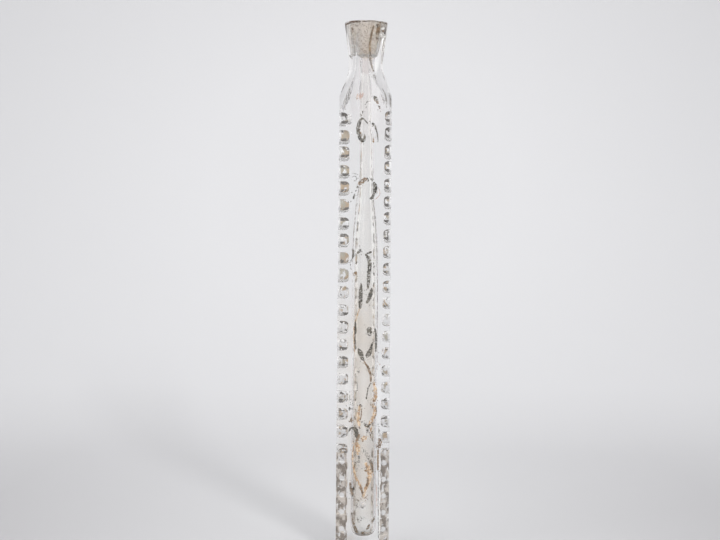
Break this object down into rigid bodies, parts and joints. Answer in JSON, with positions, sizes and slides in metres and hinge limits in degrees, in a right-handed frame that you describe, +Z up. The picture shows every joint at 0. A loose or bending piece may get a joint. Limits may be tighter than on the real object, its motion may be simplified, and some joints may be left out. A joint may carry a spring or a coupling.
{
  "type": "smelling salts bottle",
  "caption": "Tall slender cut-glass bottle of oblong section with notched corners, fluted neck, ground stopper socket and a long narrow hollow.",
  "frame": {"origin": "centre of the foot, on the ground that the bottle stands on", "axes": "+Z up along the bottle to the mouth, +X to the right of the gilded front face, -Y out of the gilded front face"},
  "size_m": [0.0164, 0.0132, 0.165],
  "materials": {
    "glass": "polished, with a ground socket and remains of gilding on the front"
  },
  "bodies": {
    "root": {"bottle": "glass"}
  },
  "joints": []
}
